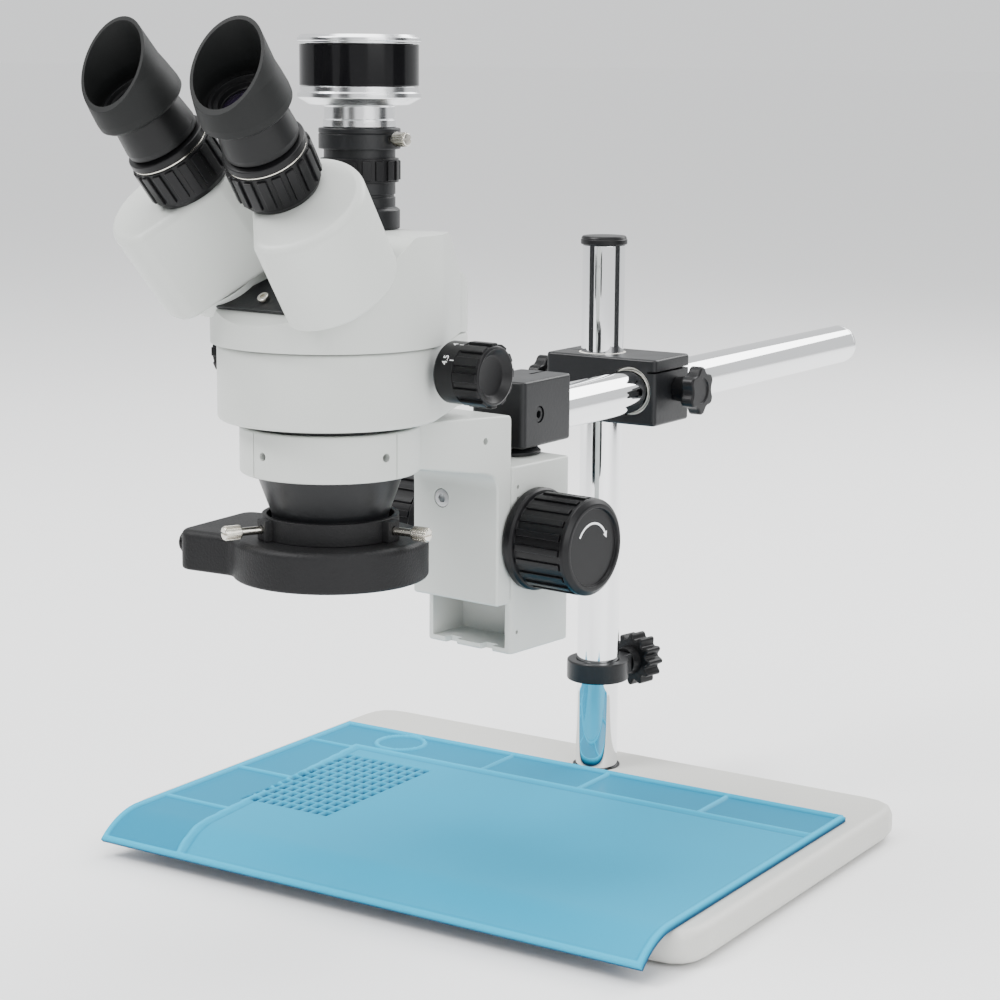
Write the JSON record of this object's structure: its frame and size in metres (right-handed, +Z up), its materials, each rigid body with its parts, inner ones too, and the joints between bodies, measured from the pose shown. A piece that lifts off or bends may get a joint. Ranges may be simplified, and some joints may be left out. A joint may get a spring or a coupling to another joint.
{
  "type": "stereo microscope",
  "caption": "Trinocular stereo zoom microscope with a ring light, on a horizontal boom stand over a heavy base plate with a silicone work mat.",
  "frame": {"origin": "bottom centre of the bounding box, on the surface that the stand rests on", "axes": "+Z up, +Y from the user towards the far end of the boom, +X to the right of the user"},
  "size_m": [0.37, 0.6764, 0.4587],
  "materials": {
    "plate_paint": "semi-gloss warm white powder coat on steel",
    "white_paint": "satin white paint on castings",
    "black_metal": "satin black paint or anodising",
    "black_plastic": "moulded black plastic",
    "gloss_black": "glossy black camera sleeve",
    "eyepiece_black": "satin black barrel",
    "textured_black": "fine textured black plastic",
    "eyecup_rubber": "soft matt rubber",
    "foot_rubber": "matt rubber",
    "blue_silicone": "satin sky-blue silicone",
    "chrome": "polished chrome plate",
    "steel": "machined steel",
    "nickel": "nickel plate, knurled",
    "silver_aluminium": "turned bright aluminium",
    "brass": "machined brass",
    "acetal": "natural acetal",
    "lens_glass": "coated optical glass",
    "led_diffuser": "milky window over the LEDs"
  },
  "bodies": {
    "base": {"base_plate": "plate_paint", "rubber_foot_1": "foot_rubber", "rubber_foot_2": "foot_rubber", "rubber_foot_3": "foot_rubber", "rubber_foot_4": "foot_rubber", "silicone_mat": "blue_silicone", "pillar_tube": "chrome", "pillar_plug": "steel", "pillar_bolt": "steel", "pillar_cap": "black_plastic"},
    "stop_collar": {"stop_collar": "black_metal"},
    "stop_collar_knob": {"stop_collar_knob": "black_plastic"},
    "pillar_liner": {"pillar_liner": "acetal"},
    "clamp_block": {"clamp_block": "black_metal"},
    "pillar_clamp_knob": {"pillar_clamp_knob": "black_plastic"},
    "boom_clamp_knob": {"boom_clamp_knob": "black_plastic"},
    "boom_liner": {"boom_liner": "acetal"},
    "boom": {"boom_tube": "chrome", "boom_end_plug": "chrome", "end_bracket": "black_metal", "bracket_screw": "steel"},
    "focus_rack": {"rack_housing": "white_paint", "stem_post": "black_metal"},
    "focus_shaft": {"pinion_shaft": "steel", "focus_knob_right": "black_plastic", "focus_knob_left": "black_plastic"},
    "focus_carriage": {"holder_arm": "white_paint", "dovetail_slide": "steel", "gear_rack": "brass", "plate_screw": "steel"},
    "head": {"zoom_body_lower": "white_paint", "upper_housing": "white_paint", "head_nose": "black_metal", "objective_lens": "lens_glass", "front_plate": "black_metal", "front_plate_screw": "nickel", "guide_rod": "steel", "port_tube": "black_metal"},
    "zoom_shaft": {"zoom_shaft": "steel", "zoom_knob_right": "black_plastic", "zoom_knob_left": "black_plastic"},
    "zoom_carriage": {"zoom_lens_carriage": "silver_aluminium"},
    "prism_right": {"prism_housing_right": "white_paint"},
    "prism_left": {"prism_housing_left": "white_paint"},
    "diopter_right": {"diopter_ring_right": "black_plastic"},
    "diopter_left": {"diopter_ring_left": "black_plastic"},
    "eyepiece_right": {"eyepiece_right": "eyepiece_black"},
    "eyepiece_left": {"eyepiece_left": "eyepiece_black"},
    "eyecup_right": {"eyecup_right": "eyecup_rubber"},
    "eyecup_left": {"eyecup_left": "eyecup_rubber"},
    "port_ring": {"port_focus_ring": "black_plastic"},
    "port_screw": {"adapter_thumb_screw": "nickel"},
    "camera": {"camera_adapter": "silver_aluminium", "camera_body": "gloss_black"},
    "ring_light": {"ring_light": "textured_black", "led_ring": "led_diffuser"},
    "light_screw_1": {"light_screw_1": "nickel"},
    "light_screw_2": {"light_screw_2": "nickel"},
    "light_screw_3": {"light_screw_3": "nickel"},
    "dimmer": {"light_dimmer_knob": "black_plastic"}
  },
  "joints": [
    {"name": "collar_height", "type": "slide", "parent": "base", "child": "stop_collar", "axis": [0, 0, 1], "range_m": [-0.042, 0.07]},
    {"name": "collar_knob_turn", "type": "hinge", "parent": "stop_collar", "child": "stop_collar_knob", "pos_m": [0.00495, 0.0939, 0.08], "axis": [0.2079, 0.9781, 0], "range_deg": [-180, 180]},
    {"name": "clamp_height", "type": "slide", "parent": "base", "child": "pillar_liner", "axis": [0, 0, 1], "range_m": [-0.06, 0.055]},
    {"name": "clamp_swivel", "type": "hinge", "parent": "pillar_liner", "child": "clamp_block", "pos_m": [0, 0.07062, 0.2525], "axis": [0, 0, 1], "range_deg": [-60, 60]},
    {"name": "pillar_knob_turn", "type": "hinge", "parent": "clamp_block", "child": "pillar_clamp_knob", "pos_m": [-0.027, 0.07062, 0.2525], "axis": [-1, 0, 0], "range_deg": [-180, 180]},
    {"name": "boom_knob_turn", "type": "hinge", "parent": "clamp_block", "child": "boom_clamp_knob", "pos_m": [0.0468, 0.07662, 0.2525], "axis": [1, 0, 0], "range_deg": [-180, 180]},
    {"name": "boom_roll", "type": "hinge", "parent": "clamp_block", "child": "boom_liner", "pos_m": [0.0294, 0.07162, 0.2525], "axis": [0, 1, 0], "range_deg": [-30, 30]},
    {"name": "boom_reach", "type": "slide", "parent": "boom_liner", "child": "boom", "axis": [0, 1, 0], "range_m": [-0.08, 0.06]},
    {"name": "rack_swivel", "type": "hinge", "parent": "boom", "child": "focus_rack", "pos_m": [0.0294, -0.07338, 0.2525], "axis": [0, 0, 1], "range_deg": [-30, 30]},
    {"name": "focus_turn", "type": "hinge", "parent": "focus_rack", "child": "focus_shaft", "pos_m": [0.02739, -0.09248, 0.194], "axis": [0.9945, -0.1045, 0], "range_deg": [-210, 210]},
    {"name": "focus_travel", "type": "slide", "parent": "focus_rack", "child": "focus_carriage", "axis": [0, 0, 1], "range_m": [-0.0221, 0.0221]},
    {"name": "head_turn", "type": "hinge", "parent": "focus_carriage", "child": "head", "pos_m": [0.01445, -0.2156, 0.255], "axis": [0, 0, 1], "range_deg": [-180, 180]},
    {"name": "zoom_turn", "type": "hinge", "parent": "head", "child": "zoom_shaft", "pos_m": [0.01592, -0.19465, 0.2936], "axis": [0.9976, -0.0698, 0], "range_deg": [-130, 130]},
    {"name": "zoom_travel", "type": "slide", "parent": "head", "child": "zoom_carriage", "axis": [0, 0, 1], "range_m": [-0.0115, 0.0115]},
    {"name": "right_eye_swing", "type": "hinge", "parent": "head", "child": "prism_right", "pos_m": [0.04528, -0.25494, 0.3373], "axis": [0.0616, -0.6181, 0.7837], "range_deg": [-30, 20]},
    {"name": "left_eye_swing", "type": "hinge", "parent": "head", "child": "prism_left", "pos_m": [-0.02155, -0.25027, 0.3373], "axis": [-0.147, -0.6035, 0.7837], "range_deg": [-20, 30]},
    {"name": "right_diopter_turn", "type": "hinge", "parent": "prism_right", "child": "diopter_right", "pos_m": [0.03733, -0.28051, 0.38195], "axis": [0.0616, -0.6181, 0.7837], "range_deg": [0, 180]},
    {"name": "right_diopter_lift", "type": "slide", "parent": "prism_right", "child": "eyepiece_right", "axis": [0.0616, -0.6181, 0.7837], "range_m": [0, 0.0046]},
    {"name": "right_eyecup_turn", "type": "hinge", "parent": "eyepiece_right", "child": "eyecup_right", "pos_m": [0.04006, -0.30789, 0.41667], "axis": [0.0616, -0.6181, 0.7837], "range_deg": [-180, 180]},
    {"name": "left_diopter_turn", "type": "hinge", "parent": "prism_left", "child": "diopter_left", "pos_m": [-0.01724, -0.27669, 0.38195], "axis": [-0.147, -0.6035, 0.7837], "range_deg": [0, 180]},
    {"name": "left_diopter_lift", "type": "slide", "parent": "prism_left", "child": "eyepiece_left", "axis": [-0.147, -0.6035, 0.7837], "range_m": [0, 0.0046]},
    {"name": "left_eyecup_turn", "type": "hinge", "parent": "eyepiece_left", "child": "eyecup_left", "pos_m": [-0.02375, -0.30343, 0.41667], "axis": [-0.147, -0.6035, 0.7837], "range_deg": [-180, 180]},
    {"name": "port_ring_turn", "type": "hinge", "parent": "head", "child": "port_ring", "pos_m": [0.01606, -0.19265, 0.385], "axis": [0, 0, 1], "range_deg": [-90, 90]},
    {"name": "port_screw_turn", "type": "hinge", "parent": "head", "child": "port_screw", "pos_m": [0.03232, -0.19379, 0.4017], "axis": [0.9976, -0.0698, 0], "range_deg": [-180, 180]},
    {"name": "camera_turn", "type": "hinge", "parent": "head", "child": "camera", "pos_m": [0.01606, -0.19265, 0.41], "axis": [0, 0, 1], "range_deg": [-180, 180]},
    {"name": "light_turn", "type": "hinge", "parent": "head", "child": "ring_light", "pos_m": [0.01445, -0.2156, 0.2], "axis": [0, 0, 1], "range_deg": [-180, 180]},
    {"name": "light_screw_1_turn", "type": "hinge", "parent": "ring_light", "child": "light_screw_1", "pos_m": [0.04402, -0.21426, 0.2165], "axis": [0.999, 0.0454, 0], "range_deg": [-180, 180]},
    {"name": "light_screw_2_turn", "type": "hinge", "parent": "ring_light", "child": "light_screw_2", "pos_m": [-0.0015, -0.19066, 0.2165], "axis": [-0.5388, 0.8425, 0], "range_deg": [-180, 180]},
    {"name": "light_screw_3_turn", "type": "hinge", "parent": "ring_light", "child": "light_screw_3", "pos_m": [0.00083, -0.24188, 0.2165], "axis": [-0.4602, -0.8878, 0], "range_deg": [-180, 180]},
    {"name": "dimmer_turn", "type": "hinge", "parent": "ring_light", "child": "dimmer", "pos_m": [-0.05693, -0.23085, 0.201], "axis": [-0.999, -0.0454, 0], "range_deg": [-135, 135]}
  ],
  "couplings": [
    {"joint": "focus_travel", "follows": "focus_turn", "m_per_rad": -0.006},
    {"joint": "zoom_travel", "follows": "zoom_turn", "m_per_rad": 0.005},
    {"joint": "left_eye_swing", "follows": "right_eye_swing", "ratio": -1},
    {"joint": "right_diopter_lift", "follows": "right_diopter_turn", "m_per_rad": 0.00145},
    {"joint": "left_diopter_lift", "follows": "left_diopter_turn", "m_per_rad": 0.00145}
  ]
}
